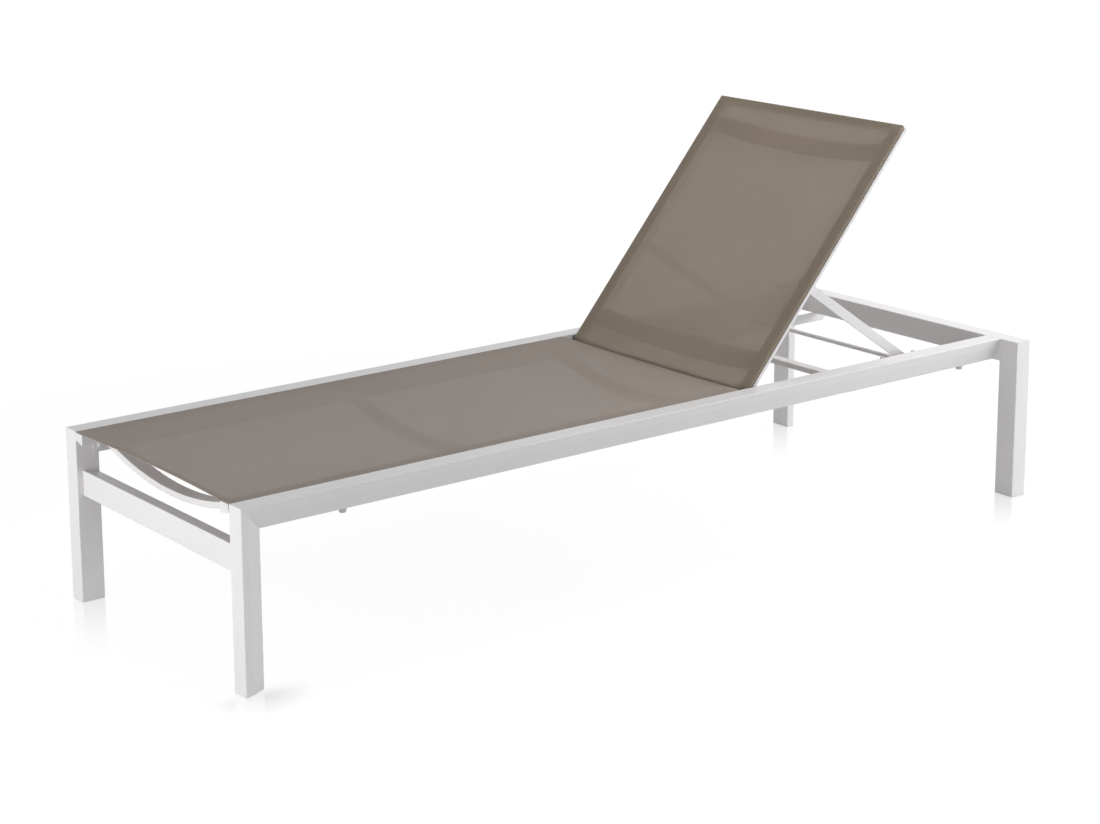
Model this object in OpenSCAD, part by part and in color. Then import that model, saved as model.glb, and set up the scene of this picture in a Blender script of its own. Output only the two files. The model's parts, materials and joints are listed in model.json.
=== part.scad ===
// Sun lounger with a white aluminium frame, a mesh seat and a mesh back that
// tilts on two bolts and is propped by a pair of struts over toothed racks.
// Millimetres. X runs from the foot end (-) to the head end (+), Z is up and
// the origin lies on the floor under the middle. Left (+Y) and right (-Y) are
// as seen from the foot end. Every side piece is drawn on the right and mirrored.

/* [Lengths] */
// Length of the seat, from the foot end
seat_l = 1210; // [1100:2:1320]
// Distance from the end of the seat to the hinge of the back
hinge_gap = 37; // [32:0.5:43]
// Length of the back, from its hinge to its top edge
back_l = 659; // [620:1:700]
// Gap between the flat back and the head bar
head_gap = 33; // [25:1:60]

/* [Frame] */
// Clear width between the side rails
inner_w = 574; // [520:2:680]
// Height of the rail tops above the floor
frame_h = 350; // [300:2:420]
// Depth of the frame profile
prof_d = 50; // [46:1:60]
// Width of the flat narrow face of the frame profile
prof_w = 41; // [38:0.5:48]
// How far the sloped side of the profile draws in at its far edge
prof_inset = 21; // [15:0.5:24]
// Depth of the ridge on the sloped side
ridge_d = 19; // [14:0.5:24]
// How far the ridge is drawn in
ridge_inset = 6; // [4:0.5:7.5]
// Wall of the frame profile
prof_wall = 2; // [1.5:0.1:3]
// Rounding of the corners of the frame profile
prof_r = 1.6; // [0.8:0.1:2.5]

/* [Cross bars] */
// Height of the front of the foot bar
foot_bar_h = 52; // [40:1:60]
// Fall of its top towards the back
foot_bar_fall = 8; // [0:0.5:12]
// Thickness of the foot bar
foot_bar_t = 36; // [30:1:36.5]
// How far the foot bar lies behind the front of the legs
foot_bar_back = 13; // [8:0.5:13.5]
// Depth of the top of the foot bar below the rail tops
foot_bar_drop = 81; // [70:1:120]
// Width of the flat cross member under the back
cross_w = 25; // [22:1:34]
// Thickness of the cross member
cross_t = 12; // [10:0.5:14]
// Distance from the cross member to the rod at its steepest step
cross_to_rod = 110; // [70:1:130]

/* [Sling tubes] */
// Width of the tubes that carry the mesh
tube_w = 28.5; // [27:0.5:31]
// Depth of these tubes on their outer side
tube_out = 15.5; // [14:0.5:18]
// Depth of these tubes on their inner side
tube_in = 22.5; // [20:0.5:26]
// Wall of these tubes
tube_wall = 1.8; // [1.2:0.1:2.4]
// Rounding of their corners
tube_r = 1.5; // [0.8:0.1:2.5]
// Thickness of the end caps
cap_t = 3; // [2:0.1:4]
// Diameter of the channel that holds the welt of the mesh
welt_channel_d = 6.4; // [6:0.1:7]
// Diameter of the welt
welt_d = 5.4; // [4.6:0.1:5.8]
// Opening of the channel
welt_slot = 2.6; // [2:0.1:3]
// Depth of the channel below the top of the tube
welt_drop = 7; // [6.6:0.1:8]

/* [Mesh] */
// Thickness of the mesh
mesh_t = 1.2; // [0.8:0.1:1.6]
// Gap between the mesh and what it lies on
mesh_gap = 0.3; // [0.2:0.05:0.5]
// Length of the hems at the free edges of the mesh
hem_l = 12; // [10:1:18]
// How far the foot edge of the seat mesh draws in between the tubes
seat_dip = 12; // [6:1:16]

/* [Bows] */
// Width of the bowed bars under the seat
bow_w = 32; // [28:1:40]
// Thickness of the bowed bars under the seat
bow_t = 12.5; // [9:0.5:13]
// Sag of the bows of the seat
bow_sag = 46; // [30:1:52]
// Width of the bowed bars behind the back
back_bow_w = 40; // [32:1:46]
// Thickness of the bowed bars behind the back
back_bow_t = 8.5; // [7:0.5:9]
// Sag of the bows of the back
back_sag = 34; // [24:1:36]
// Depth of the ends of the bows below the mesh surface
bow_drop = 9; // [7:0.5:10]
// Wall of the bowed bars
bow_wall = 1.5; // [1:0.1:2]
// Distance from the foot end to the first bow of the seat
seat_bow_first = 46; // [40:1:80]
// Distance from the hinge to the lower bow of the back
back_bow_low = 48; // [40:1:70]
// Distance from the upper bow to the top edge of the back
back_bow_top = 46; // [44:1:90]

/* [Back and props] */
// Angle of the back as it stands
back_angle = 49.2; // [40:0.1:55]
// Depth of the hinge axis below the surface of the back
hinge_drop = 12; // [11.5:0.1:12.5]
// How far the back reaches below its hinge
back_foot = 14.5; // [13:0.1:15.5]
// Side gap between the back and the rails
side_gap = 6.5; // [5:0.1:7.5]
// Diameter of the hinge and strut bolts
bolt_d = 6; // [5:0.1:6.2]
// Distance from the hinge to the strut bolts
strut_pos = 263; // [240:1:290]
// Depth of the strut bolts below the surface of the back
strut_drop = 17; // [16:0.1:18]
// Width of the struts
strut_w = 20; // [16:0.5:20.5]
// Thickness of the struts
strut_t = 5; // [4:0.5:8]
// Diameter of the rod that joins the struts
rod_d = 10; // [8:0.2:10.6]
// Distance from the rod under the flat back to the head bar
rod_gap = 42; // [30:1:60]
// Angle of the back at its steepest step
step_high = 65.4; // [64:0.1:67]
// Angle of the back at its lowest step
step_low = 29; // [27:0.1:31]

/* [Racks] */
// Thickness of the racks
rack_t = 4; // [3:0.1:5]
// Height of the bar of the racks below the rails
rack_h = 22; // [18:1:28]
// Height of the floor between the teeth above the underside of the rails
rack_floor = 8; // [6:0.1:9]
// Height of the teeth above the floor
tooth_h = 30; // [20:0.5:31]
// Height of the last tooth, which passes under a bow of the flat back
tooth_low_h = 19; // [16:0.5:20]
// Width of the teeth at the tip
tooth_tip = 7; // [4:0.5:8]
// Rounding of the corners of the racks
rack_r = 1.5; // [0.5:0.1:2]

/* [Small parts] */
// Length of a clip that fastens the seat to a rail
clip_l = 20; // [16:1:30]
// Thickness of the clips
clip_t = 2.5; // [2:0.1:3]
// Height of the leg of a clip on the rail
clip_h = 26; // [20:1:28]
// Distance from the foot end to the first pair of clips
clip_first = 37; // [30:1:60]
// Diameter of the stacking buffers
buffer_d = 17; // [14:0.5:19]
// Height of the stacking buffers
buffer_h = 9; // [6:0.5:12]
// Distance from the foot end to the first pair of buffers
buffer_first = 232; // [180:1:300]
// Distance from the head end to the second pair of buffers
buffer_last = 135; // [100:1:180]
// Thickness of the foot of a leg plug
plug_foot = 3; // [2:0.5:6]
// Length of a leg plug inside its leg
plug_l = 24; // [16:1:36]

/* [Hidden] */
$fn = 48;
// Pieces that a rounded corner is drawn with
corner_steps = 3;
// Clearance of a pin that turns in its bore, on the radius
pin_fit = 0.05;
// Clearance of a plug in its tube
plug_fit = 0.3;
// Gap between the racks and what moves beside them
rack_side = 1;
// Gap between the struts and the racks
strut_side = 1.5;
// Gap between the end of the rod and a rack
rod_end_gap = 0.5;
// Gap between the rod and the floor or the tooth behind it
rod_fit = 0.4;
// Overrun of every cut
over = 1;

overall_l = seat_l + hinge_gap + back_l + head_gap + prof_w;
rail_w = inner_w + 2 * prof_w;
head_w = rail_w + 2 * prof_d;
x0 = -overall_l / 2;
x1 = overall_l / 2;
rail_y = rail_w / 2;
inner_y = inner_w / 2;
rail_under = frame_h - prof_d;
mesh_top = mesh_t + mesh_gap;

hinge_x = x0 + seat_l + hinge_gap;
hinge_z = frame_h - hinge_drop;
back_y = inner_y - side_gap;
back_in = back_y - tube_w;
seat_in = inner_y - tube_w;

rack_out_y = back_in - rack_side;
rack_in_y = rack_out_y - rack_t;
strut_out_y = rack_in_y - strut_side;
strut_in_y = strut_out_y - strut_t;
rod_r = rod_d / 2;
rod_z = rail_under + rack_floor + rod_r + rod_fit;
rod_z_flat = rail_under + rod_r + rod_fit;
pin_drop = strut_drop - hinge_drop;
// Angles of the back at which the rod stands against a tooth
steps = [step_high, back_angle, step_low];

// The struts are as long as the rod's place under the flat back asks for
flat_run = back_l + head_gap - rod_gap - strut_pos;
flat_fall = hinge_z - pin_drop - rod_z_flat;
strut_l = norm([flat_run, flat_fall]);

// Place of the strut axis when the back stands at an angle
function pin_x(a) = hinge_x + strut_pos * cos(a) + pin_drop * sin(a);
function pin_z(a) = hinge_z + strut_pos * sin(a) - pin_drop * cos(a);
// Fall of the struts and place of the rod at that angle
function strut_fall(a) = asin((pin_z(a) - rod_z) / strut_l);
function rod_x(a) = pin_x(a) + strut_l * cos(strut_fall(a));
cross_x = rod_x(max(steps)) - cross_to_rod;

// Outline helpers for outlines that run counterclockwise
function unit(v) = v / norm(v);
function inward(v) = [-v[1], v[0]];
function before(p, i) = p[(i + len(p) - 1) % len(p)];
function after(p, i) = p[(i + 1) % len(p)];
function side_in(p, i) = inward(unit(p[i] - before(p, i)));
function side_out(p, i) = inward(unit(after(p, i) - p[i]));
function corner_in(p, i, d) =
    let (m = side_in(p, i), n = side_out(p, i)) p[i] + d * (m + n) / (1 + m * n);
function shrink(p, d) = [for (i = [0 : len(p) - 1]) corner_in(p, i, d)];
function turn(p, i) =
    let (m = side_in(p, i), n = side_out(p, i)) atan2(m[0] * n[1] - m[1] * n[0], m * n);
function arc_at(p, i, r) =
    let (m = side_in(p, i), c = corner_in(p, i, r), g = atan2(-m[1], -m[0]), t = turn(p, i))
    [for (k = [0 : corner_steps]) c + r * [cos(g + t * k / corner_steps), sin(g + t * k / corner_steps)]];
function rounded(p, r) =
    [for (i = [0 : len(p) - 1]) each (turn(p, i) > 0 ? arc_at(p, i, r) : [p[i]])];
function box_outline(w, h) = [[0, 0], [w, 0], [w, h], [0, h]];
function reversed(p) = [for (i = [len(p) - 1 : -1 : 0]) p[i]];

// Frame profile, with its narrow face up and its sloped side toward -x
frame_outline = [[0, 0], [ridge_inset, -ridge_d], [prof_inset, -prof_d], [prof_w, -prof_d], [prof_w, 0]];
// Tube profile, with its top face up and its outer side toward -x
lip_in = mesh_top + mesh_gap;
tube_outline = [[lip_in, 0], [lip_in, -welt_drop], [0, -welt_drop], [0, -tube_out],
    [tube_w, -tube_in], [tube_w, 0]];
welt_x = lip_in + welt_channel_d / 2 + tube_wall / 2;
cavity_x = welt_x + welt_channel_d / 2 + tube_wall;
function tube_under(x) = tube_out + (tube_in - tube_out) * x / tube_w;
cavity_outline = [[cavity_x, -tube_wall], [cavity_x, -tube_under(cavity_x) + tube_wall],
    [tube_w - tube_wall, -tube_under(tube_w - tube_wall) + tube_wall], [tube_w - tube_wall, -tube_wall]];

white = [0.93, 0.93, 0.92];
taupe = [0.56, 0.52, 0.48];
grey_plastic = [0.25, 0.25, 0.25];
white_plastic = [0.9, 0.9, 0.89];
steel = [0.7, 0.7, 0.72];

module along_x(from, to) {
    translate([from, 0, 0]) rotate([90, 0, 90]) linear_extrude(to - from) children();
}
module along_y(from, to) {
    translate([0, to, 0]) rotate([90, 0, 0]) linear_extrude(to - from) children();
}
module pin_y(r, from, to) {
    translate([0, to, 0]) rotate([90, 0, 0]) cylinder(r = r, h = to - from);
}
module on_left() {
    mirror([0, 1, 0]) children();
}
module both_sides() {
    children();
    mirror([0, 1, 0]) children();
}

// Frame of mitred profiles
module frame_profile() {
    difference() {
        polygon(rounded(frame_outline, prof_r));
        polygon(shrink(frame_outline, prof_wall));
    }
}
// Everything on the leg side of the mitre between a rail and a foot leg
module foot_mitre(leg_side) {
    far = prof_d + over;
    corner = leg_side ? [far, over] : [-over, -far];
    along_y(-rail_y - over, rail_y + over)
        polygon([[x0 - over, frame_h + over], [x0 + far, frame_h - far], [x0, frame_h] + corner]);
}
module rail() {
    color(white) difference() {
        along_x(x0, x1 - prof_w) translate([-rail_y, frame_h]) frame_profile();
        foot_mitre(false);
        translate([hinge_x, 0, hinge_z]) pin_y(bolt_d / 2 + pin_fit, -inner_y - bolt_grip - over, -inner_y + over);
    }
}
module foot_leg() {
    color(white) difference() {
        translate([x0, -rail_y, plug_foot])
            linear_extrude(frame_h - plug_foot) rotate(90) frame_profile();
        foot_mitre(true);
    }
}
// Everything past the mitre between the head bar and a head leg
module head_mitre(leg_side) {
    far = prof_d + over;
    corner = leg_side ? [far, over] : [-over, -far];
    along_x(x1 - prof_w - over, x1 + over)
        polygon([[-head_w / 2 - over, frame_h + over], [-head_w / 2 + far, frame_h - far],
            [-head_w / 2, frame_h] + corner]);
}
module head_leg() {
    color(white) difference() {
        translate([x1, -head_w / 2, plug_foot])
            linear_extrude(frame_h - plug_foot) rotate(180) frame_profile();
        head_mitre(true);
    }
}
module rail_left() {
    on_left() rail();
}
module rail_right() {
    rail();
}
module foot_leg_left() {
    on_left() foot_leg();
}
module foot_leg_right() {
    foot_leg();
}
module head_leg_left() {
    on_left() head_leg();
}
module head_leg_right() {
    head_leg();
}
module head_bar() {
    color(white) difference() {
        along_y(-head_w / 2, head_w / 2) translate([x1, frame_h]) mirror([1, 0]) frame_profile();
        both_sides() head_mitre(false);
    }
}
module tube_section(outline, wall, r) {
    difference() {
        polygon(rounded(outline, r));
        polygon(shrink(outline, wall));
    }
}
module box_tube(w, h, wall, r) {
    tube_section(box_outline(w, h), wall, r);
}
module foot_bar() {
    color(white) along_y(-inner_y, inner_y)
        translate([x0 + foot_bar_back, frame_h - foot_bar_drop - foot_bar_h])
            tube_section([[0, 0], [foot_bar_t, 0], [foot_bar_t, foot_bar_h - foot_bar_fall], [0, foot_bar_h]],
                prof_wall, prof_r);
}
module cross_member() {
    color(white) along_y(-inner_y, inner_y)
        translate([cross_x, rail_under]) box_tube(cross_w, cross_t, bow_wall, prof_r);
}

// Racks that hold the rod at each step of the back. Past the last tooth the
// rack falls to the height of the rails' underside, where the rod lies flat.
function tooth(a) =
    let (x = rod_x(a) + rod_r + rod_fit, z = rail_under + rack_floor, last = a == min(steps),
        h = last ? tooth_low_h : tooth_h, fall = last ? rack_floor : 0)
    [[x, z], [x, z + h], [x + tooth_tip, z + h], [x + tooth_tip + h + fall, z - fall]];
rack_x1 = x1 - prof_r;
module rack() {
    floor_z = rail_under + rack_floor;
    foot = cross_x + cross_w + rack_floor;
    under = rail_under - rack_h;
    outline = concat(
        [[cross_x, under + rack_floor], [cross_x, rail_under],
            [foot - rack_floor / 2, rail_under], [foot, floor_z]],
        [for (a = steps) each tooth(a)],
        [[rack_x1, rail_under], [rack_x1, under + rack_floor], [rack_x1 - rack_floor, under],
            [cross_x + rack_floor, under]]);
    color(white) along_y(-rack_out_y, -rack_in_y) polygon(rounded(reversed(outline), rack_r));
}
module rack_left() {
    on_left() rack();
}
module rack_right() {
    rack();
}

// Tubes, caps and bows that carry the mesh
module tube_profile() {
    difference() {
        polygon(rounded(tube_outline, tube_r));
        polygon(cavity_outline);
        translate([welt_x, -welt_drop]) circle(d = welt_channel_d);
        translate([-over, -welt_drop - welt_slot / 2]) square([welt_x + over, welt_slot]);
    }
}
module cap(inside) {
    linear_extrude(cap_t) difference() {
        polygon(rounded(tube_outline, tube_r));
        translate([-over, -welt_drop - welt_slot / 2]) square([lip_in + over, welt_slot]);
    }
    linear_extrude(cap_t + inside) polygon(shrink(cavity_outline, plug_fit));
}
// A tube or cap lies with its top under the mesh and its outer side at y = -side
module at_side(side, top) {
    translate([-side, top - mesh_top]) children();
}
module seat_tube() {
    color(white) along_x(x0 + cap_t, x0 + seat_l - cap_t) at_side(inner_y, frame_h) tube_profile();
}
module seat_tube_left() {
    on_left() seat_tube();
}
module seat_tube_right() {
    seat_tube();
}
module cap_along_x(side, top, inside) {
    rotate([90, 0, 90]) translate([-side, top - mesh_top, 0]) cap(inside);
}
module seat_caps_foot() {
    color(white_plastic) both_sides() translate([x0, 0, 0]) cap_along_x(inner_y, frame_h, tube_in);
}
// A cap that closes the other end faces the other way
module cap_facing_back(side, top, inside) {
    mirror([1, 0, 0]) cap_along_x(side, top, inside);
}
module seat_caps_head() {
    color(white_plastic) both_sides()
        translate([x0 + seat_l, 0, 0]) cap_facing_back(inner_y, frame_h, tube_in);
}
// A bow between two upright faces at y = -half and y = half, with its ends at z = 0
module bow(half, sag, w, t) {
    bow_r = (half * half + sag * sag) / (2 * sag);
    reach = asin(half / bow_r) + asin(t / bow_r);
    color(white) intersection() {
        translate([0, 0, bow_r - sag]) rotate([0, 90, 0]) rotate([0, 0, -reach])
            rotate_extrude(angle = 2 * reach, $fn = 180)
                translate([bow_r, 0]) box_tube(t, w, bow_wall, prof_r);
        translate([-over, -half, -half]) cube([w + 2 * over, 2 * half, 2 * half]);
    }
}
seat_bow_last = seat_l - seat_bow_first - bow_w / 2;
module seat_bow(x) {
    translate([x0 + x, 0, frame_h - bow_drop]) bow(seat_in, bow_sag, bow_w, bow_t);
}
module seat_bow_foot() {
    seat_bow(seat_bow_first);
}
module seat_bow_middle() {
    seat_bow((seat_bow_first + seat_bow_last) / 2);
}
module seat_bow_head() {
    seat_bow(seat_bow_last);
}

// Mesh with its edges turned down over the tubes into the welt channels
module mesh_edge_section(side) {
    translate([-side + mesh_gap, -welt_drop - mesh_top]) square([mesh_t, welt_drop + mesh_top]);
}
module mesh_edges(from, to, side, top) {
    both_sides() along_x(from, to) translate([0, top]) mesh_edge_section(side);
}
module strip(from, to, half) {
    translate([from, -half]) square([to - from, 2 * half]);
}
// What the mesh leaves free at its foot edge, as an arc between the tubes
mesh_foot = x0 + mesh_t;
mesh_head = x0 + seat_l - mesh_t;
dip_r = (seat_in * seat_in + seat_dip * seat_dip) / (2 * seat_dip);
module dip(x) {
    translate([x + seat_dip - dip_r, 0]) circle(r = dip_r, $fn = 720);
}
module seat_mesh() {
    hem_half = seat_in - mesh_gap;
    color(taupe) union() {
        translate([0, 0, frame_h - mesh_t]) linear_extrude(mesh_t) difference() {
            strip(mesh_foot, mesh_head, inner_y - mesh_gap);
            dip(mesh_foot);
        }
        translate([0, 0, frame_h - 2 * mesh_t]) linear_extrude(mesh_t) difference() {
            intersection() {
                strip(mesh_foot, mesh_foot + seat_dip + hem_l, hem_half);
                dip(mesh_foot + hem_l);
            }
            dip(mesh_foot);
        }
        translate([0, 0, frame_h - 2 * mesh_t]) linear_extrude(mesh_t)
            strip(mesh_head - hem_l, mesh_head, hem_half);
        mesh_edges(mesh_foot, mesh_head, inner_y, frame_h);
    }
}
module welt(from, to, side, top) {
    color(taupe) along_x(from, to)
        translate([-side + welt_x, top - mesh_top - welt_drop]) circle(d = welt_d);
}
module seat_welt_left() {
    on_left() seat_welt_right();
}
module seat_welt_right() {
    welt(x0 + cap_t, x0 + seat_l - cap_t, inner_y, frame_h);
}

// Clips that fasten the seat tubes to the rails
clip_last = seat_l - clip_first - clip_l;
clip_places = [clip_first, (clip_first + clip_last) / 2, clip_last];
clip_reach = tube_w * 2 / 3;
clip_screw_d = 5;
clip_head_d = 9;
clip_head_h = 2;
module clip_outline() {
    under = -mesh_top - tube_out;
    slope = (tube_in - tube_out) / tube_w;
    polygon([[0, under], [0, under - clip_h], [clip_t, under - clip_h],
        [clip_t, under - clip_t - clip_t * slope], [clip_reach, under - clip_t - clip_reach * slope],
        [clip_reach, under - clip_reach * slope]]);
}
module seat_clips_right() {
    color(white) for (x = clip_places)
        along_x(x0 + x, x0 + x + clip_l) translate([-inner_y, frame_h]) clip_outline();
}
module seat_clips_left() {
    on_left() seat_clips_right();
}
// Pan head screws that hold each clip to its rail
module clip_screws() {
    head_y = -inner_y + clip_t;
    color(steel) both_sides() for (x = clip_places)
        translate([x0 + x + clip_l / 2, 0, frame_h - mesh_top - tube_out - clip_h * 2 / 3])
            pin_y(clip_head_d / 2, head_y, head_y + clip_head_h);
}

// Plugs, buffers and screws
module leg_plug() {
    linear_extrude(plug_foot) polygon(rounded(frame_outline, prof_r));
    linear_extrude(plug_foot + plug_l) difference() {
        polygon(shrink(frame_outline, prof_wall + plug_fit));
        polygon(shrink(frame_outline, prof_wall + plug_fit + prof_wall));
    }
}
module leg_plug_foot_right() {
    color(white_plastic) translate([x0, -rail_y, 0]) rotate(90) leg_plug();
}
module leg_plug_foot_left() {
    on_left() leg_plug_foot_right();
}
module leg_plug_head_right() {
    color(white_plastic) translate([x1, -head_w / 2, 0]) rotate(180) leg_plug();
}
module leg_plug_head_left() {
    on_left() leg_plug_head_right();
}
buffer_places = [x0 + buffer_first, x1 - buffer_last];
buffer_tip_share = 3 / 4;
module stack_buffers() {
    y = -(inner_y + rail_y - prof_inset) / 2;
    color(grey_plastic) both_sides() for (x = buffer_places)
        translate([x, y, rail_under - buffer_h])
            cylinder(d1 = buffer_d * buffer_tip_share, d2 = buffer_d, h = buffer_h);
}
// Hinge bolts, fixed in the rails
bolt_head_d = bolt_d * 1.75;
bolt_head_h = bolt_d / 2;
bolt_grip = 10;
module bolt(head_y, end_y) {
    pin_y(bolt_d / 2, end_y, head_y);
    pin_y(bolt_head_d / 2, head_y, head_y + bolt_head_h);
}
module hinge_bolt_right() {
    color(steel) translate([hinge_x, 0, hinge_z]) bolt(-back_in + pin_fit, -inner_y - bolt_grip);
}
module hinge_bolt_left() {
    on_left() hinge_bolt_right();
}
washer_d = 20;
washer_play = 0.2;
module hinge_washer_right() {
    color(grey_plastic) translate([hinge_x, 0, hinge_z]) difference() {
        pin_y(washer_d / 2, -inner_y + washer_play, -back_y - washer_play);
        pin_y(bolt_d / 2 + pin_fit, -inner_y - over, -back_y + over);
    }
}
module hinge_washer_left() {
    on_left() hinge_washer_right();
}

// The back is drawn lying flat from its hinge and then raised
module raised() {
    translate([hinge_x, 0, hinge_z]) rotate([0, -back_angle, 0]) children();
}
top_end = back_l - mesh_top;
module back_tube() {
    color(white) difference() {
        along_x(-back_foot + cap_t, top_end - cap_t) at_side(back_y, hinge_drop) tube_profile();
        pin_y(bolt_d / 2 + pin_fit, -back_y - over, -back_in + over);
        translate([strut_pos, 0, -pin_drop])
            pin_y(bolt_d / 2 + pin_fit, -back_in - tube_wall - over, -back_in + over);
    }
}
module back_tube_right() {
    raised() back_tube();
}
module back_tube_left() {
    on_left() back_tube_right();
}
top_w = 13;
module back_top_tube() {
    color(white) raised() along_y(-back_in, back_in)
        translate([top_end, hinge_drop - mesh_top]) mirror([1, 0]) difference() {
            translate([0, -tube_out]) polygon(rounded(box_outline(top_w, tube_out), tube_r));
            translate([welt_x - lip_in, -welt_drop]) circle(d = welt_channel_d);
            translate([-over, -welt_drop - welt_slot / 2]) square([welt_x - lip_in + over, welt_slot]);
        }
}
module back_bow(x) {
    raised() translate([x, 0, hinge_drop - bow_drop]) bow(back_in, back_sag, back_bow_w, back_bow_t);
}
module back_bow_upper() {
    back_bow(back_l - back_bow_top - back_bow_w);
}
module back_bow_lower() {
    back_bow(back_bow_low);
}
module back_mesh() {
    side = back_y - mesh_gap;
    color(taupe) raised() union() {
        translate([0, 0, hinge_drop - mesh_t]) linear_extrude(mesh_t) strip(-back_foot, back_l, side);
        translate([0, 0, hinge_drop - 2 * mesh_t]) linear_extrude(mesh_t)
            strip(-back_foot, hem_l - back_foot, back_in - mesh_gap);
        mesh_edges(-back_foot, back_l, back_y, hinge_drop);
        translate([0, 0, hinge_drop - mesh_top - welt_drop])
            linear_extrude(mesh_top + welt_drop) strip(back_l - mesh_t, back_l, side);
    }
}
// The welts of the back start past the hinge bolts
welt_start = washer_d / 2 + cap_t;
module back_welt_right() {
    raised() welt(welt_start, top_end - cap_t, back_y, hinge_drop);
}
module back_welt_left() {
    on_left() back_welt_right();
}
module back_welt_top() {
    color(taupe) raised() along_y(-back_in, back_in)
        translate([top_end - welt_x + lip_in, hinge_drop - mesh_top - welt_drop]) circle(d = welt_d);
}
module back_caps_top() {
    color(white_plastic) raised() both_sides()
        translate([top_end, 0, 0]) cap_facing_back(back_y, hinge_drop, tube_in);
}
// Blocks in the lower ends of the back tubes, bored for the hinge bolts
module hinge_block() {
    color(grey_plastic) difference() {
        translate([-back_foot, 0, 0]) cap_along_x(back_y, hinge_drop, tube_in + bolt_d);
        pin_y(bolt_d / 2 + pin_fit, -back_y - over, -back_in + over);
    }
}
module back_hinge_block_right() {
    raised() hinge_block();
}
module back_hinge_block_left() {
    on_left() back_hinge_block_right();
}

// Struts, their bolts and bushes, and the rod
module at_strut_pin() {
    raised() translate([strut_pos, 0, -pin_drop]) children();
}
bush_d = bolt_d * 1.75;
module strut_bush_right() {
    color(grey_plastic) at_strut_pin() difference() {
        pin_y(bush_d / 2, -back_in + pin_fit, -strut_out_y - pin_fit);
        pin_y(bolt_d / 2 + pin_fit, -back_in - over, -strut_out_y + over);
    }
}
module strut_bush_left() {
    on_left() strut_bush_right();
}
module strut_bolt_right() {
    color(steel) at_strut_pin() bolt(-strut_in_y + pin_fit, -back_in - bolt_grip);
}
module strut_bolt_left() {
    on_left() strut_bolt_right();
}
module strut_outline() {
    difference() {
        union() {
            circle(d = strut_w);
            translate([strut_l, 0]) circle(d = strut_w);
            translate([0, -strut_w / 2]) square([strut_l, strut_w]);
        }
        circle(d = bolt_d + 2 * pin_fit);
        translate([strut_l, 0]) circle(d = rod_d + 2 * pin_fit);
    }
}
module strut_right() {
    color(white) translate([pin_x(back_angle), 0, pin_z(back_angle)])
        rotate([0, strut_fall(back_angle), 0]) along_y(-strut_out_y, -strut_in_y) strut_outline();
}
module strut_left() {
    on_left() strut_right();
}
module prop_rod() {
    half = rack_in_y - rod_end_gap;
    color(white) translate([rod_x(back_angle), 0, rod_z]) pin_y(rod_r, -half, half);
}

rail_left();
rail_right();
foot_leg_left();
foot_leg_right();
head_leg_left();
head_leg_right();
head_bar();
foot_bar();
cross_member();
rack_left();
rack_right();
seat_tube_left();
seat_tube_right();
seat_caps_foot();
seat_caps_head();
seat_bow_foot();
seat_bow_middle();
seat_bow_head();
seat_mesh();
seat_welt_left();
seat_welt_right();
seat_clips_left();
seat_clips_right();
clip_screws();
leg_plug_foot_left();
leg_plug_foot_right();
leg_plug_head_left();
leg_plug_head_right();
stack_buffers();
hinge_bolt_left();
hinge_bolt_right();
hinge_washer_left();
hinge_washer_right();
back_tube_left();
back_tube_right();
back_top_tube();
back_bow_upper();
back_bow_lower();
back_mesh();
back_welt_left();
back_welt_right();
back_welt_top();
back_hinge_block_left();
back_hinge_block_right();
back_caps_top();
strut_bolt_left();
strut_bolt_right();
strut_bush_left();
strut_bush_right();
strut_left();
strut_right();
prop_rod();
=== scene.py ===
import json
import math

import bmesh
import bpy
from mathutils import Matrix, Vector


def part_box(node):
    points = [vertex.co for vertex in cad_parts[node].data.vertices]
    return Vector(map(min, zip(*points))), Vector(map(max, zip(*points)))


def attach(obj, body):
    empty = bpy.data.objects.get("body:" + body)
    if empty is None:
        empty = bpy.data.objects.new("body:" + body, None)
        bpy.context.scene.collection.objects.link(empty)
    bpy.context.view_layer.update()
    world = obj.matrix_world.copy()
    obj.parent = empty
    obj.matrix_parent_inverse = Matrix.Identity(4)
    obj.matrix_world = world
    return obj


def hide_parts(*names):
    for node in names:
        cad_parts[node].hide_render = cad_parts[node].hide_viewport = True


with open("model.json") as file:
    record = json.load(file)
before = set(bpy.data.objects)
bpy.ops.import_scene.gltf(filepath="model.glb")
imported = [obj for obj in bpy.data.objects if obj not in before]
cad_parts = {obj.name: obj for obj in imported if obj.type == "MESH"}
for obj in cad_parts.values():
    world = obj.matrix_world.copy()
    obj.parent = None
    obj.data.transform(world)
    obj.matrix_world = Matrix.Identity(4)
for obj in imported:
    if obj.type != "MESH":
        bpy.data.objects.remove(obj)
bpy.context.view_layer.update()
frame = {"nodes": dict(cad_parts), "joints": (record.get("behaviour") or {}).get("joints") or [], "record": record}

scene = bpy.context.scene
scene.view_settings.view_transform = "Standard"

# Places taken from the frame, in metres
joints = {j["name"]: j for j in frame["joints"]}
HINGE = Vector(joints["back_hinge"]["pos_m"])
BACK_ANGLE = math.radians(-joints["back_hinge"]["range_deg"][0])
seat_low, seat_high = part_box("seat_mesh")
SEAT_FROM, SEAT_TO = seat_low.x, seat_high.x
TOP = seat_high.z
SEAT_HALF = seat_high.y
BACK_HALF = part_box("back_mesh")[1].y
SEAT_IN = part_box("seat_tube_left")[0].y
BACK_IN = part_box("back_tube_left")[0].y

# Sizes of the cloth, in metres. Those of the back are along it from its hinge.
BACK_L = 0.659
BACK_FOOT = 0.0145
HINGE_DROP = 0.012
CLOTH_T = 0.0009
LAYER_GAP = 0.0003
HEM_L = 0.012
SEAT_DIP = 0.012
EDGE_DEPTH = 0.0078
EDGE_R = 0.0012
SAG = 0.0022
SAG_END = 0.06

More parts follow.
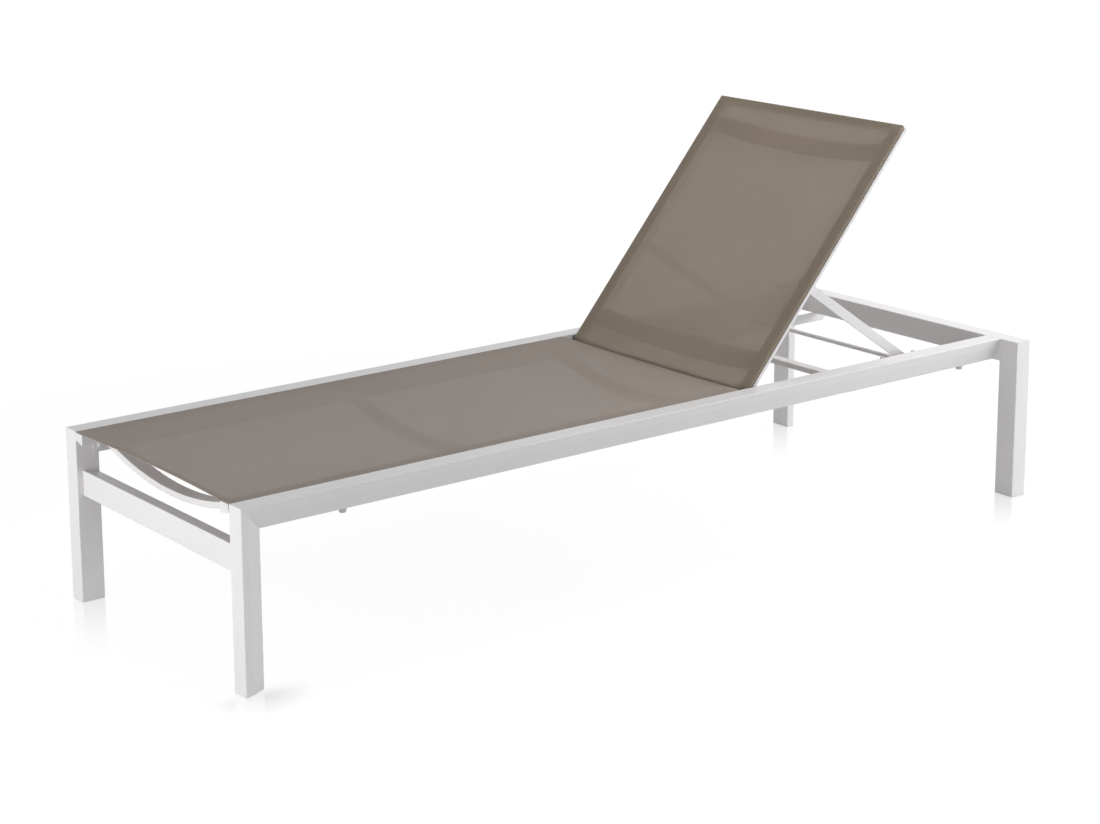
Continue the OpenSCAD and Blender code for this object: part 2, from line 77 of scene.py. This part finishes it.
# Into how many steps each stretch of the cloth is divided
EDGE_STEPS = 4
HEM_STEPS = 6
HEM_FLAT_STEPS = 4
ACROSS_STEPS = 28
SEAT_STEPS = 60
BACK_STEPS = 36


# Small helpers for node trees
def material(name):
    m = bpy.data.materials.new(name)
    m.use_nodes = True
    m.node_tree.nodes.clear()
    return m, m.node_tree


def node(nt, kind, **values):
    n = nt.nodes.new(kind)
    for k, v in values.items():
        setattr(n, k, v)
    return n


# A socket takes a link, a colour or a plain value
def put(nt, value, socket):
    if isinstance(value, bpy.types.NodeSocket):
        nt.links.new(value, socket)
    elif isinstance(value, tuple) and len(value) == 3 and socket.type == "RGBA":
        socket.default_value = (*value, 1)
    else:
        socket.default_value = value


def maths(nt, op, a, b=None, clamp=False):
    n = node(nt, "ShaderNodeMath", operation=op, use_clamp=clamp)
    put(nt, a, n.inputs[0])
    if b is not None:
        put(nt, b, n.inputs[1])
    return n.outputs[0]


def noise(nt, vector, scale, detail=2.0, rough=0.5):
    n = node(nt, "ShaderNodeTexNoise")
    put(nt, vector, n.inputs["Vector"])
    n.inputs["Scale"].default_value = scale
    n.inputs["Detail"].default_value = detail
    n.inputs["Roughness"].default_value = rough
    return n.outputs["Fac"]


def ramp(nt, fac, low, high, to_low=0.0, to_high=1.0):
    n = node(nt, "ShaderNodeMapRange")
    put(nt, fac, n.inputs["Value"])
    n.inputs["From Min"].default_value = low
    n.inputs["From Max"].default_value = high
    n.inputs["To Min"].default_value = to_low
    n.inputs["To Max"].default_value = to_high
    return n.outputs["Result"]


# The colour sockets of a Mix node come after its number and vector sockets
MIX_A, MIX_B, MIX_RESULT = 6, 7, 2


def mix_colour(nt, fac, a, b):
    n = node(nt, "ShaderNodeMix", data_type="RGBA")
    put(nt, fac, n.inputs["Factor"])
    put(nt, a, n.inputs[MIX_A])
    put(nt, b, n.inputs[MIX_B])
    return n.outputs[MIX_RESULT]


def bump(nt, height, distance, strength=1.0):
    n = node(nt, "ShaderNodeBump")
    n.inputs["Strength"].default_value = strength
    n.inputs["Distance"].default_value = distance
    put(nt, height, n.inputs["Height"])
    return n.outputs[0]


def mix_shader(nt, fac, a, b):
    n = node(nt, "ShaderNodeMixShader")
    put(nt, fac, n.inputs[0])
    nt.links.new(a, n.inputs[1])
    nt.links.new(b, n.inputs[2])
    return n.outputs[0]


def surface(nt, shader, kind="Material"):
    out = node(nt, "ShaderNodeOutput" + kind)
    nt.links.new(shader, out.inputs["Surface"])


def coords(nt):
    return node(nt, "ShaderNodeTexCoord").outputs["Object"]


def scaled(colour, share):
    return tuple(c * share for c in colour)


# Noise stays mostly between these two values
NOISE_LOW, NOISE_HIGH = 0.3, 0.7


# Uneven gloss: a roughness that wanders between low and high
def wandering(nt, fac, low, high):
    return ramp(nt, fac, NOISE_LOW, NOISE_HIGH, low, high)


# Powder coating: a fine orange peel, a little cloudiness in gloss and tone.
# Scales are in cycles a metre, depths in metres.
COAT_CLOUD, COAT_CLOUD_DETAIL = 9.0, 3.0
COAT_SHADE = 0.975
COAT_GLOSS_CLOUD, COAT_GLOSS_DETAIL = 40.0, 3.0
COAT_ROUGH = (0.34, 0.43)
COAT_PEEL, COAT_PEEL_DETAIL, COAT_PEEL_DEPTH = 950.0, 1.0, 0.00006
COAT_SPECULAR = 0.45


def powder_coat(name, colour):
    m, nt = material(name)
    at = coords(nt)
    p = node(nt, "ShaderNodeBsdfPrincipled")
    cloud = noise(nt, at, COAT_CLOUD, COAT_CLOUD_DETAIL)
    put(nt, mix_colour(nt, cloud, scaled(colour, COAT_SHADE), colour), p.inputs["Base Color"])
    gloss_cloud = noise(nt, at, COAT_GLOSS_CLOUD, COAT_GLOSS_DETAIL)
    put(nt, wandering(nt, gloss_cloud, *COAT_ROUGH), p.inputs["Roughness"])
    peel = noise(nt, at, COAT_PEEL, COAT_PEEL_DETAIL)
    put(nt, bump(nt, peel, COAT_PEEL_DEPTH), p.inputs["Normal"])
    p.inputs["Specular IOR Level"].default_value = COAT_SPECULAR
    surface(nt, p.outputs[0])
    return m


# Moulded plastic, rubber, cord and thread: a fine grain and uneven gloss
MOULD_SHADE = 0.92
MOULD_CLOUD, MOULD_GLOSS_CLOUD, MOULD_GRAIN = 60.0, 300.0, 700.0
MOULD_SMOOTHER, MOULD_ROUGHER = 0.06, 0.08


def moulded(name, colour, rough=0.5, grain_depth=0.00008):
    m, nt = material(name)
    at = coords(nt)
    p = node(nt, "ShaderNodeBsdfPrincipled")
    cloud = noise(nt, at, MOULD_CLOUD)
    put(nt, mix_colour(nt, cloud, scaled(colour, MOULD_SHADE), colour), p.inputs["Base Color"])
    gloss_cloud = noise(nt, at, MOULD_GLOSS_CLOUD)
    gloss = wandering(nt, gloss_cloud, rough - MOULD_SMOOTHER, rough + MOULD_ROUGHER)
    put(nt, gloss, p.inputs["Roughness"])
    put(nt, bump(nt, noise(nt, at, MOULD_GRAIN), grain_depth), p.inputs["Normal"])
    surface(nt, p.outputs[0])
    return m


# Zinc plating: bright metal with a fine spangle
ZINC_SPANGLE, ZINC_DETAIL, ZINC_SPANGLE_ROUGH = 180.0, 4.0, 0.6
ZINC_ROUGH = (0.25, 0.42)
ZINC_GRAIN, ZINC_GRAIN_DEPTH = 900.0, 0.00003


def zinc(name, dark, light):
    m, nt = material(name)
    at = coords(nt)
    p = node(nt, "ShaderNodeBsdfPrincipled")
    p.inputs["Metallic"].default_value = 1.0
    spots = noise(nt, at, ZINC_SPANGLE, ZINC_DETAIL, ZINC_SPANGLE_ROUGH)
    put(nt, mix_colour(nt, spots, dark, light), p.inputs["Base Color"])
    put(nt, wandering(nt, spots, *ZINC_ROUGH), p.inputs["Roughness"])
    put(nt, bump(nt, noise(nt, at, ZINC_GRAIN), ZINC_GRAIN_DEPTH), p.inputs["Normal"])
    surface(nt, p.outputs[0])
    return m


# Woven mesh: round coated yarns over and under each other, with open corners.
# The piece's map holds metres along and across the cloth.
YARN_PITCH = 0.00155
# Height of a yarn where it passes under, what it gains where it passes over, and the least
# height that counts as yarn, as shares of its own
YARN_REST, YARN_LIFT = 0.45, 0.55
YARN_MIN = 0.001
# Clouds and slubs in cycles a metre, and what they and the painted shade of the weave's hollows add to the tone
CLOTH_CLOUD, CLOTH_CLOUD_DETAIL = 5.0, 3.0
SLUB, SLUB_DETAIL = 420.0, 1.0
UNEVEN_SHARE, HOLLOW_SHADE_SHARE = 0.19, 0.62
RELIEF_DEPTH, RELIEF_STRENGTH = 0.00035, 0.6
CLOTH_ROUGH, CLOTH_SPECULAR, CLOTH_SHEEN = 0.62, 0.28, 0.05


# Height of a yarn across itself, nought outside it
def yarn_height(nt, off_centre, open_share):
    half = 0.5 - open_share / 2
    t = maths(nt, "DIVIDE", off_centre, half)
    left = maths(nt, "SUBTRACT", 1.0, maths(nt, "MULTIPLY", t, t))
    return maths(nt, "SQRT", maths(nt, "MAXIMUM", left, 0.0))


# Height of the yarns of one direction where they pass over the others
def over_height(nt, height, share, off_centre):
    wave = maths(nt, "COSINE", maths(nt, "MULTIPLY", off_centre, math.pi))
    lift = maths(nt, "MULTIPLY", maths(nt, "MULTIPLY", share, YARN_LIFT), wave)
    return maths(nt, "MULTIPLY", height, maths(nt, "ADD", YARN_REST, lift))


def woven_mesh(name, light, dark, open_share, through_share):
    m, nt = material(name)
    uv = node(nt, "ShaderNodeUVMap", uv_map="cloth").outputs[0]
    along_across = node(nt, "ShaderNodeSeparateXYZ")
    nt.links.new(uv, along_across.inputs[0])
    u = maths(nt, "DIVIDE", along_across.outputs[0], YARN_PITCH)
    v = maths(nt, "DIVIDE", along_across.outputs[1], YARN_PITCH)
    off_u = maths(nt, "SUBTRACT", maths(nt, "FRACT", u), 0.5)
    off_v = maths(nt, "SUBTRACT", maths(nt, "FRACT", v), 0.5)
    warp = yarn_height(nt, off_v, open_share)
    weft = yarn_height(nt, off_u, open_share)
    # Each yarn passes over one and under one
    cell = maths(nt, "ADD", maths(nt, "FLOOR", u), maths(nt, "FLOOR", v))
    half_cell = maths(nt, "FRACT", maths(nt, "MULTIPLY", cell, 0.5))
    warp_on_top = maths(nt, "MULTIPLY", half_cell, 2.0)
    weft_on_top = maths(nt, "SUBTRACT", 1.0, warp_on_top)
    warp_relief = over_height(nt, warp, warp_on_top, off_u)
    weft_relief = over_height(nt, weft, weft_on_top, off_v)
    height = maths(nt, "MAXIMUM", warp_relief, weft_relief)
    solid = maths(nt, "GREATER_THAN", maths(nt, "ADD", warp, weft), YARN_MIN)

    # Tone: painted shade, darker in the hollows of the weave, with slubs along the yarns and slow clouds over the
    # cloth
    cloud = noise(nt, coords(nt), CLOTH_CLOUD, CLOTH_CLOUD_DETAIL)
    slub = noise(nt, uv, SLUB, SLUB_DETAIL)
    uneven = maths(nt, "MULTIPLY", maths(nt, "ADD", cloud, slub), UNEVEN_SHARE)
    hollow_shade = maths(nt, "MULTIPLY", height, HOLLOW_SHADE_SHARE)
    colour = mix_colour(nt, maths(nt, "ADD", hollow_shade, uneven, clamp=True), dark, light)
    p = node(nt, "ShaderNodeBsdfPrincipled")
    put(nt, colour, p.inputs["Base Color"])
    p.inputs["Roughness"].default_value = CLOTH_ROUGH
    p.inputs["Specular IOR Level"].default_value = CLOTH_SPECULAR
    p.inputs["Sheen Weight"].default_value = CLOTH_SHEEN
    put(nt, bump(nt, height, RELIEF_DEPTH, RELIEF_STRENGTH), p.inputs["Normal"])
    through = node(nt, "ShaderNodeBsdfTranslucent")
    put(nt, colour, through.inputs["Color"])
    yarn = mix_shader(nt, through_share, p.outputs[0], through.outputs[0])
    # The cloth is a closed thin shell: its far side, met from within, lets everything pass
    within = node(nt, "ShaderNodeNewGeometry").outputs["Backfacing"]
    shown = maths(nt, "MULTIPLY", solid, maths(nt, "SUBTRACT", 1.0, within))
    clear = node(nt, "ShaderNodeBsdfTransparent")
    surface(nt, mix_shader(nt, shown, clear.outputs[0], yarn))
    return m


coat = powder_coat("white_powder_coat", (0.806, 0.793, 0.797))
white_plastic = moulded("white_nylon", (0.78, 0.78, 0.77))
grey_plastic = moulded("grey_nylon", (0.085, 0.08, 0.075), rough=0.48)
light_rubber = moulded("light_grey_rubber", (0.58, 0.58, 0.57), rough=0.6, grain_depth=0.00012)
steel = zinc("zinc_plated_steel", dark=(0.5, 0.5, 0.52), light=(0.68, 0.68, 0.7))
# dark is the tone of the weave's hollows, where it is painted shade, and of its darker slubs and clouds
mesh_back = woven_mesh("mesh_of_the_back", light=(0.404, 0.329, 0.254), dark=(0.151, 0.12, 0.09),
                       open_share=0.19, through_share=0.2)
# The seat's cloth is the back's cloth in a lighter tone: painted light standing in for the light the seat gets
mesh_seat_painted_lighter = woven_mesh("mesh_of_the_seat_painted_lighter", light=(0.452, 0.384, 0.335), dark=(0.169, 0.139, 0.118),
                       open_share=0.16, through_share=0.13)
welt_cloth = moulded("welt_cord", (0.30, 0.26, 0.22), rough=0.7, grain_depth=0.0002)
thread = moulded("thread", (0.42, 0.37, 0.32), rough=0.6, grain_depth=0.00012)

# Of the mesh slot's nodes only the welts show: the slings below stand for the rest
by_slot = {
    "frame": coat,
    "white_plastic": white_plastic,
    "grey_plastic": grey_plastic,
    "steel": steel,
    "mesh": welt_cloth,
}
slots = {s["node"]: s["material_slot"] for s in frame["record"]["subparts"]}
for name, obj in frame["nodes"].items():
    finish = light_rubber if name == "stack_buffers" else by_slot[slots[name]]
    if not obj.material_slots:
        obj.data.materials.append(finish)
    for s in obj.material_slots:
        s.link = "OBJECT"
        s.material = finish


def new_object(name, bm, mat):
    me = bpy.data.meshes.new(name)
    bm.normal_update()
    bm.to_mesh(me)
    bm.free()
    o = bpy.data.objects.new(name, me)
    scene.collection.objects.link(o)
    o.data.materials.append(mat)
    return o


def steps_between(a, b, n):
    return [a + (b - a) * k / n for k in range(n + 1)]


# Running length along a list of points
def run(points):
    out = [0.0]
    for a, b in zip(points, points[1:]):
        out.append(out[-1] + math.dist(a, b))
    return out


# A quarter turn of the cloth over an edge at (at, 0), from the side at depth to the flat
def turned_edge(at):
    out = [(at, -EDGE_DEPTH), (at, -(EDGE_DEPTH + EDGE_R) / 2), (at, -EDGE_R)]
    for k in range(1, EDGE_STEPS + 1):
        a = math.pi / 2 * k / EDGE_STEPS
        out.append((at - EDGE_R + EDGE_R * math.cos(a), -EDGE_R + EDGE_R * math.sin(a)))
    return out


# A hem under a free edge at nought: its inner end, the fold, and the flat above
HEM_R = CLOTH_T + LAYER_GAP / 2


def folded_hem():
    out = [(x, -2 * HEM_R) for x in steps_between(HEM_L, HEM_R, HEM_FLAT_STEPS)]
    for k in range(1, HEM_STEPS + 1):
        a = math.pi * k / HEM_STEPS
        out.append((HEM_R - HEM_R * math.sin(a), -HEM_R - HEM_R * math.cos(a)))
    return out


# Places across the cloth: the turned edge, the top of the tube, and the free width
def columns(half, inside):
    side = turned_edge(half)
    middle = [(y, 0.0) for y in steps_between(inside, -inside, ACROSS_STEPS)]
    return side + middle + [(-y, z) for y, z in reversed(side)]


def sag(y, inside):
    return -SAG * max(0.0, 1 - (y / inside) ** 2)


# A cloth of rows along and columns across. point(i, j) gives a place in the cloth's own
# plane or None where there is no cloth, and place puts it in the model's frame.
def cloth(name, point, across, along, place, mat):
    bm = bmesh.new()
    uv = bm.loops.layers.uv.new("cloth")
    grid = {}
    for i in range(len(along)):
        for j in range(len(across)):
            at = point(i, j)
            if at is not None:
                grid[i, j] = bm.verts.new(place @ Vector(at))
    for i in range(len(along) - 1):
        for j in range(len(across) - 1):
            corners = [(i, j), (i, j + 1), (i + 1, j + 1), (i + 1, j)]
            if not all(c in grid for c in corners):
                continue
            f = bm.faces.new([grid[c] for c in corners])
            f.smooth = True
            for loop, (a, b) in zip(f.loops, corners):
                loop[uv].uv = (along[a], across[b])
    loose = [w for w in bm.verts if not w.link_faces]
    bmesh.ops.delete(bm, geom=loose, context="VERTS")
    o = new_object(name, bm, mat)
    t = o.modifiers.new("thickness", "SOLIDIFY")
    t.thickness = CLOTH_T
    t.offset = -1
    return o


# Seat: flat on the tubes, its free edges hemmed, the one at the foot drawn in as an arc
DIP_R = (SEAT_IN ** 2 + SEAT_DIP ** 2) / (2 * SEAT_DIP)


def foot_edge(y):
    if abs(y) >= SEAT_IN:
        return SEAT_FROM
    return SEAT_FROM + SEAT_DIP - DIP_R + math.sqrt(DIP_R ** 2 - y ** 2)


hem = folded_hem()
flat_share = steps_between(0.0, 1.0, SEAT_STEPS)
seat_across = columns(SEAT_HALF, SEAT_IN - LAYER_GAP)
seat_hem_half = SEAT_IN - LAYER_GAP / 2
seat_rows = len(hem) + len(flat_share) - 2 + len(hem)


def seat_point(i, j):
    y, drop = seat_across[j]
    free = abs(y) < seat_hem_half
    start, end = foot_edge(y), SEAT_TO
    from_head = seat_rows - 1 - i
    if i < len(hem) - 1:
        x, z = start + hem[i][0], hem[i][1]
    elif from_head < len(hem) - 1:
        x, z = end - hem[from_head][0], hem[from_head][1]
    else:
        fold = HEM_R if free else 0.0
        share = flat_share[i - len(hem) + 1]
        x, z = start + fold + (end - start - 2 * fold) * share, drop
        return x, y, z + sag(y, SEAT_IN)
    return (x, y, z + sag(y, SEAT_IN)) if free else None


middle = len(seat_across) // 2
seat_along = run([seat_point(i, middle) for i in range(seat_rows)])
seat_place = Matrix.Translation((0, 0, TOP))
seat = cloth("seat_sling", seat_point, run(seat_across), seat_along, seat_place, mesh_seat_painted_lighter)
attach(seat, "frame")
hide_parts("seat_mesh")

# Back, drawn lying flat from its hinge and then raised: hemmed at its foot, turned over the
# top tube
to_hinge = Matrix.Translation(HINGE)
lean = Matrix.Rotation(-BACK_ANGLE, 4, "Y")
raise_back = to_hinge @ lean @ Matrix.Translation((0, 0, HINGE_DROP))
BACK_TO = BACK_L - LAYER_GAP
back_across = columns(BACK_HALF, BACK_IN - LAYER_GAP)
back_hem_half = BACK_IN - LAYER_GAP / 2
top_turn = list(reversed(turned_edge(BACK_TO)))
flat_places = steps_between(HEM_R - BACK_FOOT, BACK_TO - EDGE_R, BACK_STEPS)
back_flat = [(x, 0.0) for x in flat_places]
back_rows = [(x - BACK_FOOT, z) for x, z in hem[:-1]] + back_flat + top_turn[1:]
first_flat = len(hem) - 1
last_flat = first_flat + len(back_flat) - 1
side_columns = len(turned_edge(BACK_HALF)) - 1


def back_point(i, j):
    y, drop = back_across[j]
    x, z = back_rows[i]
    turned = j < side_columns or j >= len(back_across) - side_columns
    beside_hem = abs(y) > back_hem_half
    if (i < first_flat and beside_hem) or (i > last_flat and turned):
        return None
    if i == first_flat and beside_hem:
        x = -BACK_FOOT
    if turned:
        z += drop
    near_end = min(1.0, (BACK_TO - x) / SAG_END)
    return x, y, z + sag(y, BACK_IN) * max(0.0, near_end)


back = cloth("back_sling", back_point, run(back_across), run(back_rows), raise_back, mesh_back)
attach(back, "back")
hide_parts("back_mesh")

# Stitching of the hems: short threads that dip into the cloth at both ends.
# The shape of a stitch is rings at (share of length, share of radius, height in radii).
STITCH_L = 0.0034
STITCH_PITCH = 0.0045
STITCH_R = 0.00028
STITCH_SIDES = 6
SEAM_INSETS = (0.0085, 0.0105)
STITCH_SHAPE = ((-0.5, 0.35, -0.7), (-0.3, 1.0, 0.2), (0.3, 1.0, 0.2), (0.5, 0.35, -0.7))


# Faces between each pair of rings of n corners
def join_rings(bm, rings, n, smooth):
    for a, b in zip(rings, rings[1:]):
        for k in range(n):
            m = (k + 1) % n
            bm.faces.new((a[k], a[m], b[m], b[k])).smooth = smooth


def stitch(bm, at, along, up):
    side = up.cross(along)
    rings = []
    for x, r, z in STITCH_SHAPE:
        centre = at + along * (x * STITCH_L) + up * (z * STITCH_R)
        ring = []
        for k in range(STITCH_SIDES):
            a = 2 * math.pi * k / STITCH_SIDES
            out = side * math.cos(a) + up * math.sin(a)
            ring.append(bm.verts.new(centre + out * (r * STITCH_R)))
        rings.append(ring)
    join_rings(bm, rings, STITCH_SIDES, smooth=True)
    bm.faces.new(list(reversed(rings[0])))
    bm.faces.new(rings[-1])


# One seam across the cloth. edge(y) is the place of the free edge, way is +1 or -1 into
# the cloth.
def seam(bm, edge, way, inset, inside, place):
    up = (place.to_3x3() @ Vector((0, 0, 1))).normalized()
    half = inside - STITCH_PITCH
    n = int(2 * half / STITCH_PITCH)
    spots = []
    for y in steps_between(-half, half, n):
        spots.append(place @ Vector((edge(y) + way * inset, y, sag(y, inside))))
    for a, b in zip(spots, spots[1:]):
        stitch(bm, (a + b) / 2, (b - a).normalized(), up)


bm = bmesh.new()
for inset in SEAM_INSETS:
    seam(bm, foot_edge, 1, inset, SEAT_IN, seat_place)
    seam(bm, lambda y: SEAT_TO, -1, inset, SEAT_IN, seat_place)
seat_seams = new_object("seat_stitching", bm, thread)
bm = bmesh.new()
for inset in SEAM_INSETS:
    seam(bm, lambda y: -BACK_FOOT, 1, inset, BACK_IN, raise_back)
back_seams = new_object("back_stitching", bm, thread)
for seams, body in ((seat_seams, "frame"), (back_seams, "back")):
    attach(seams, body)

# Bolts with a button head and a hexagon socket, in place of the plain ones
BOLT_R = 0.003
BOLT_TIP_SHARE, BOLT_CHAMFER_SHARE = 0.6, 0.4
BOLT_HEAD_H = 0.003
BOLT_HEAD_STEPS = 6
CROWN_SHARE = 0.6
SOCKET_R = 0.0022
SOCKET_DEPTH = 0.0018
BOLT_SIDES = 24


# Distance from the middle of the socket to its wall, at an angle
def socket_wall(a):
    return SOCKET_R * math.cos(math.pi / 6) / math.cos(a % (math.pi / 3) - math.pi / 6)


def button_bolt(name, node_name, body):
    low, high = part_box(node_name)
    centre = (low + high) / 2
    inward = -1 if centre.y > 0 else 1
    head_y = high.y if inward > 0 else low.y
    end_y = low.y if inward > 0 else high.y
    shoulder = head_y - inward * BOLT_HEAD_H
    head_r = (high.x - low.x) / 2
    # Rings along the bolt: place, and radius, or None for the socket's wall
    rings = [
        (end_y, BOLT_TIP_SHARE * BOLT_R),
        (end_y + inward * BOLT_CHAMFER_SHARE * BOLT_R, BOLT_R),
        (shoulder, BOLT_R),
        (shoulder, head_r),
    ]
    for k in range(BOLT_HEAD_STEPS):
        a = math.pi / 2 * k / BOLT_HEAD_STEPS
        r = head_r * (CROWN_SHARE + (1 - CROWN_SHARE) * math.cos(a))
        rings.append((shoulder + inward * BOLT_HEAD_H * math.sin(a), r))
    rings += [(head_y, None), (head_y - inward * SOCKET_DEPTH, None)]
    bm = bmesh.new()
    loops = []
    for y, radius in rings:
        loop = []
        for k in range(BOLT_SIDES):
            a = 2 * math.pi * k / BOLT_SIDES
            r = socket_wall(a) if radius is None else radius
            loop.append(bm.verts.new((centre.x + r * math.cos(a), y, centre.z + r * math.sin(a))))
        loops.append(loop)
    join_rings(bm, loops, BOLT_SIDES, smooth=False)
    bm.faces.new(loops[0])
    bm.faces.new(loops[-1])
    bmesh.ops.recalc_face_normals(bm, faces=bm.faces)
    o = new_object(name, bm, steel)
    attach(o, body)
    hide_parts(node_name)


for side in ("left", "right"):
    button_bolt("hinge_screw_" + side, "hinge_bolt_" + side, "frame")
    button_bolt("strut_screw_" + side, "strut_bolt_" + side, "back")

# Floor: white to the eye, with a faint gloss round the feet and a faint shadow, and matt to
# the lights. Its glow rises to full white away from the object, from SHADOW_FROM to
# SHADOW_TO metres. GLOSS_REACH is how far the gloss goes round each foot: less round the
# foot nearest the photograph's camera, where the photograph shows no mirrored underside.
GLOW = 0.94
SHADOW_FROM, SHADOW_TO = 1.6, 2.6
SHADOW_SHARE = 0.1
GLOSS_SHARE = 0.36
GLOSS_FROM = 0.03
GLOSS_REACH = {"foot_left": 0.33, "foot_right": 0.12, "head_left": 0.36, "head_right": 0.33}
GLOSS_FADE = 1.5
GLOSS_ROUGH = 0.07
FLOOR_TONE = 0.56
FLOOR_HALF = 60
FLOOR_DROP = 0.0005
PLAIN_WHITE = (1, 1, 1, 1)


# One where a ray goes from the eye, straight or by a mirror or a clear piece, else nought
def looked_at(nt, path):
    eye = maths(nt, "MAXIMUM", path.outputs["Is Camera Ray"], path.outputs["Is Glossy Ray"])
    return maths(nt, "MAXIMUM", eye, path.outputs["Is Transmission Ray"])


floor_mat, nt = material("floor")
path = node(nt, "ShaderNodeLightPath")
glow = node(nt, "ShaderNodeEmission")
glow.inputs["Color"].default_value = PLAIN_WHITE
from_middle = node(nt, "ShaderNodeVectorMath", operation="LENGTH")
put(nt, coords(nt), from_middle.inputs[0])
strength = ramp(nt, from_middle.outputs["Value"], SHADOW_FROM, SHADOW_TO, GLOW, 1.0)
put(nt, strength, glow.inputs["Strength"])
shaded = node(nt, "ShaderNodeBsdfDiffuse")
shaded.inputs["Color"].default_value = (SHADOW_SHARE, SHADOW_SHARE, SHADOW_SHARE, 1)
both = node(nt, "ShaderNodeAddShader")
nt.links.new(glow.outputs[0], both.inputs[0])
nt.links.new(shaded.outputs[0], both.inputs[1])
gloss = node(nt, "ShaderNodeBsdfGlossy")
gloss.inputs["Roughness"].default_value = GLOSS_ROUGH
gloss.inputs["Color"].default_value = PLAIN_WHITE
near_foot = 0.0
for plug, reach in GLOSS_REACH.items():
    low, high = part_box("leg_plug_" + plug)
    away = node(nt, "ShaderNodeVectorMath", operation="DISTANCE")
    put(nt, coords(nt), away.inputs[0])
    away.inputs[1].default_value = ((low.x + high.x) / 2, (low.y + high.y) / 2, 0)
    fade = ramp(nt, away.outputs["Value"], GLOSS_FROM, reach, 1.0, 0.0)
    near_foot = maths(nt, "MAXIMUM", near_foot, fade)
mirror = maths(nt, "MULTIPLY", maths(nt, "POWER", near_foot, GLOSS_FADE), GLOSS_SHARE)
seen = mix_shader(nt, mirror, both.outputs[0], gloss.outputs[0])
matt = node(nt, "ShaderNodeBsdfDiffuse")
matt.inputs["Color"].default_value = (FLOOR_TONE, FLOOR_TONE, FLOOR_TONE, 1)
surface(nt, mix_shader(nt, looked_at(nt, path), matt.outputs[0], seen))
bm = bmesh.new()
bmesh.ops.create_grid(bm, x_segments=1, y_segments=1, size=FLOOR_HALF)
floor = new_object("floor", bm, floor_mat)
floor.location.z = -FLOOR_DROP

# World: white to the eye, softer as a light
AMBIENT = 0.22
world = bpy.data.worlds.new("studio")
scene.world = world
world.use_nodes = True
nt = world.node_tree
nt.nodes.clear()
path = node(nt, "ShaderNodeLightPath")
backgrounds = []
for strength in (AMBIENT, 1.0):
    b = node(nt, "ShaderNodeBackground")
    b.inputs["Color"].default_value = PLAIN_WHITE
    b.inputs["Strength"].default_value = strength
    backgrounds.append(b.outputs[0])
surface(nt, mix_shader(nt, looked_at(nt, path), *backgrounds), "World")


def area_light(name, at, to, size, power):
    data = bpy.data.lights.new(name, "AREA")
    data.shape = "RECTANGLE"
    data.size, data.size_y = size
    data.energy = power
    o = bpy.data.objects.new(name, data)
    o.location = at
    o.rotation_mode = "QUATERNION"
    o.rotation_quaternion = (Vector(to) - Vector(at)).to_track_quat("-Z", "Y")
    scene.collection.objects.link(o)


# Each light: where it is, what it points at and its size, in metres, and its power in watts
LIGHTS = {
    "head_top": ((1.9, 0.0, 2.6), (0.8, 0.0, 0.35), (1.6, 2.0), 20.6),
    "left": ((-3.0, 0.3, 0.9), (-0.9, 0.0, 0.2), (1.8, 1.2), 29.2),
    "right_head": ((1.9, -3.0, 0.9), (0.7, -0.3, 0.25), (1.8, 1.2), 33.5),
    "right_foot": ((-0.6, -3.4, 1.0), (-0.4, -0.3, 0.25), (1.8, 1.2), 9.5),
    "beyond_head": ((3.4, -1.4, 1.2), (0.6, -0.3, 0.25), (1.6, 1.2), 38.0),
    "over_head": ((1.2, -0.1, 2.0), (0.95, -0.1, 0.3), (0.8, 1.2), 10.5),
    "low_left": ((-3.2, -1.2, 0.35), (-0.9, -0.1, 0.2), (1.6, 0.6), 16.2),
}
for light, (at, to, size, power) in LIGHTS.items():
    area_light(light, at, to, size, power)

# Camera, fitted to the photograph: its lens and centre are in pixels of the 1100 by 824
# frame, its place in metres and its turn in degrees
PHOTO_W, PHOTO_H = 1100, 824
LENS_PX = 2464.3
CENTRE_PX = (420, 262)
SENSOR_MM = 36
CAMERA_AT = (-3.0976, -3.8553, 1.6849)
CAMERA_TURN = (77.627, 0.834, -35.484)
CLIP_FROM, CLIP_TO = 0.1, 200
camera = bpy.data.cameras.new("camera")
camera.sensor_width = SENSOR_MM
camera.lens = LENS_PX / PHOTO_W * SENSOR_MM
camera.shift_x = (PHOTO_W / 2 - CENTRE_PX[0]) / PHOTO_W
camera.shift_y = (CENTRE_PX[1] - PHOTO_H / 2) / PHOTO_W
camera.clip_start = CLIP_FROM
camera.clip_end = CLIP_TO
cam = bpy.data.objects.new("camera", camera)
cam.location = CAMERA_AT
cam.rotation_euler = [math.radians(a) for a in CAMERA_TURN]
scene.collection.objects.link(cam)
scene.camera = cam
